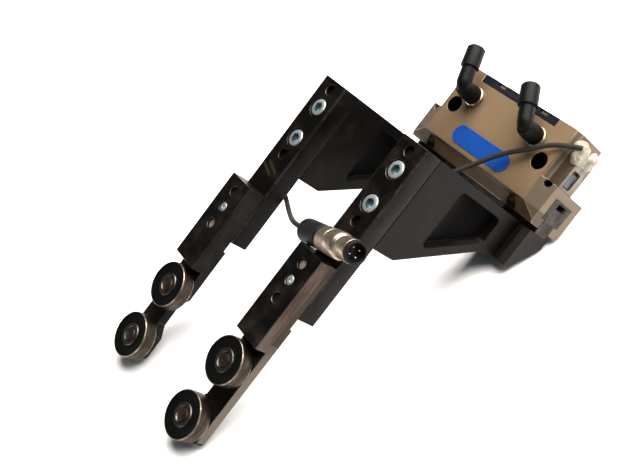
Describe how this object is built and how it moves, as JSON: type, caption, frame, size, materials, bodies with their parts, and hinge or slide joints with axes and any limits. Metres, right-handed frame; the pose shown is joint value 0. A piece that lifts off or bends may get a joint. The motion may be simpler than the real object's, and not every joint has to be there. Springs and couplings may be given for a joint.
{
  "type": "parallel gripper",
  "caption": "Pneumatic parallel gripper with a wedge-hook drive, long offset bracket fingers and sealed rollers at the tips, with swivel air fittings and a cabled sensor.",
  "frame": {"origin": "centre of the flange face on top of the housing, where the gripper bolts to a robot", "axes": "+Z leaves the flange, so the fingers hang along -Z; +X is the way the near jaw opens; the label face looks along -Y"},
  "size_m": [0.1248, 0.1454, 0.2556],
  "materials": {
    "anodised_housing": "hard anodised, satin",
    "satin_aluminium": "satin",
    "bearing_steel": "ground, worn",
    "black_rubber": "matt",
    "zinc_steel": "zinc plated",
    "blackened_metal": "black anodised, satin",
    "hardened_steel": "ground, grey",
    "nickel_plate": "nickel plated",
    "black_plastic": "satin",
    "cover_plastic": "matt, dark blue-black",
    "blue_label": "printed film, bare",
    "sensor_steel": "bright",
    "clear_sealant": "cloudy, set sealant",
    "cable_jacket": "matt polyurethane"
  },
  "bodies": {
    "housing": {"housing": "anodised_housing", "cylinder_cover": "satin_aluminium", "cover_strip": "cover_plastic", "label_plate": "blue_label", "housing_screws": "zinc_steel", "fitting_collar_near": "nickel_plate", "fitting_collar_far": "nickel_plate", "sensor_block": "satin_aluminium", "sensor_element": "sensor_steel", "sealing_lump": "clear_sealant", "sensor_cable": "cable_jacket"},
    "near_finger": {"base_jaw_near": "hardened_steel", "bracket_near": "blackened_metal", "jaw_screws_near": "zinc_steel", "jaw_sleeves_near": "zinc_steel", "finger_bar_near": "blackened_metal", "bar_screws_near": "zinc_steel", "bar_dowels_near": "bearing_steel", "roller_arm_near": "blackened_metal", "arm_stud_near": "zinc_steel", "arm_dowels_near": "bearing_steel", "roller_hub_near_upper": "bearing_steel", "roller_pin_near_upper": "bearing_steel", "roller_hub_near_lower": "bearing_steel", "roller_pin_near_lower": "bearing_steel", "plug_grip": "black_plastic", "plug_sleeve": "nickel_plate", "plug_insert": "black_plastic"},
    "far_finger": {"base_jaw_far": "hardened_steel", "bracket_far": "blackened_metal", "jaw_screws_far": "zinc_steel", "jaw_sleeves_far": "zinc_steel", "finger_bar_far": "blackened_metal", "bar_screws_far": "zinc_steel", "bar_dowels_far": "bearing_steel", "roller_arm_far": "blackened_metal", "arm_stud_far": "zinc_steel", "arm_dowels_far": "bearing_steel", "roller_hub_far_upper": "bearing_steel", "roller_pin_far_upper": "bearing_steel", "roller_hub_far_lower": "bearing_steel", "roller_pin_far_lower": "bearing_steel"},
    "drive": {"piston": "satin_aluminium", "piston_seal": "black_rubber", "wedge_hook": "hardened_steel"},
    "plug_nut": {"plug_nut": "nickel_plate"},
    "elbow_near": {"fitting_elbow_near": "black_plastic"},
    "elbow_far": {"fitting_elbow_far": "black_plastic"},
    "ring_near": {"release_ring_near": "black_plastic"},
    "ring_far": {"release_ring_far": "black_plastic"},
    "roller_near_upper": {"roller_ring_near_upper": "bearing_steel", "roller_seals_near_upper": "black_rubber"},
    "roller_near_lower": {"roller_ring_near_lower": "bearing_steel", "roller_seals_near_lower": "black_rubber"},
    "roller_far_upper": {"roller_ring_far_upper": "bearing_steel", "roller_seals_far_upper": "black_rubber"},
    "roller_far_lower": {"roller_ring_far_lower": "bearing_steel", "roller_seals_far_lower": "black_rubber"}
  },
  "joints": [
    {"name": "near_jaw_slide", "type": "slide", "parent": "housing", "child": "near_finger", "axis": [-1, 0, 0], "range_m": [0, 0.008], "deforming": ["sensor_cable"]},
    {"name": "far_jaw_slide", "type": "slide", "parent": "housing", "child": "far_finger", "axis": [1, 0, 0], "range_m": [0, 0.008]},
    {"name": "piston_slide", "type": "slide", "parent": "housing", "child": "drive", "axis": [0, 0, 1], "range_m": [0, 0.01]},
    {"name": "plug_nut_turn", "type": "hinge", "parent": "near_finger", "child": "plug_nut", "pos_m": [0.03523, -0.11116, -0.12014], "axis": [0.9367, -0.2779, 0.2129], "continuous": true},
    {"name": "roller_near_upper_spin", "type": "hinge", "parent": "near_finger", "child": "roller_near_upper", "pos_m": [0.035, -0.1107, -0.198], "axis": [0, 1, 0], "continuous": true},
    {"name": "roller_near_lower_spin", "type": "hinge", "parent": "near_finger", "child": "roller_near_lower", "pos_m": [0.035, -0.1107, -0.233], "axis": [0, 1, 0], "continuous": true},
    {"name": "roller_far_upper_spin", "type": "hinge", "parent": "far_finger", "child": "roller_far_upper", "pos_m": [-0.035, -0.1107, -0.198], "axis": [0, 1, 0], "continuous": true},
    {"name": "roller_far_lower_spin", "type": "hinge", "parent": "far_finger", "child": "roller_far_lower", "pos_m": [-0.035, -0.1107, -0.233], "axis": [0, 1, 0], "continuous": true},
    {"name": "elbow_near_swivel", "type": "hinge", "parent": "housing", "child": "elbow_near", "pos_m": [0.027, -0.03, -0.015], "axis": [0, 1, 0], "continuous": true},
    {"name": "ring_near_press", "type": "slide", "parent": "elbow_near", "child": "ring_near", "axis": [0.5592, 0, -0.829], "range_m": [0, 0.0005], "stiffness_N_per_m": 300},
    {"name": "elbow_far_swivel", "type": "hinge", "parent": "housing", "child": "elbow_far", "pos_m": [-0.027, -0.03, -0.015], "axis": [0, 1, 0], "continuous": true},
    {"name": "ring_far_press", "type": "slide", "parent": "elbow_far", "child": "ring_far", "axis": [0.3746, 0, -0.9272], "range_m": [0, 0.0005], "stiffness_N_per_m": 300}
  ],
  "couplings": [
    {"joint": "far_jaw_slide", "follows": "near_jaw_slide", "ratio": 1},
    {"joint": "piston_slide", "follows": "near_jaw_slide", "ratio": 1.25}
  ]
}
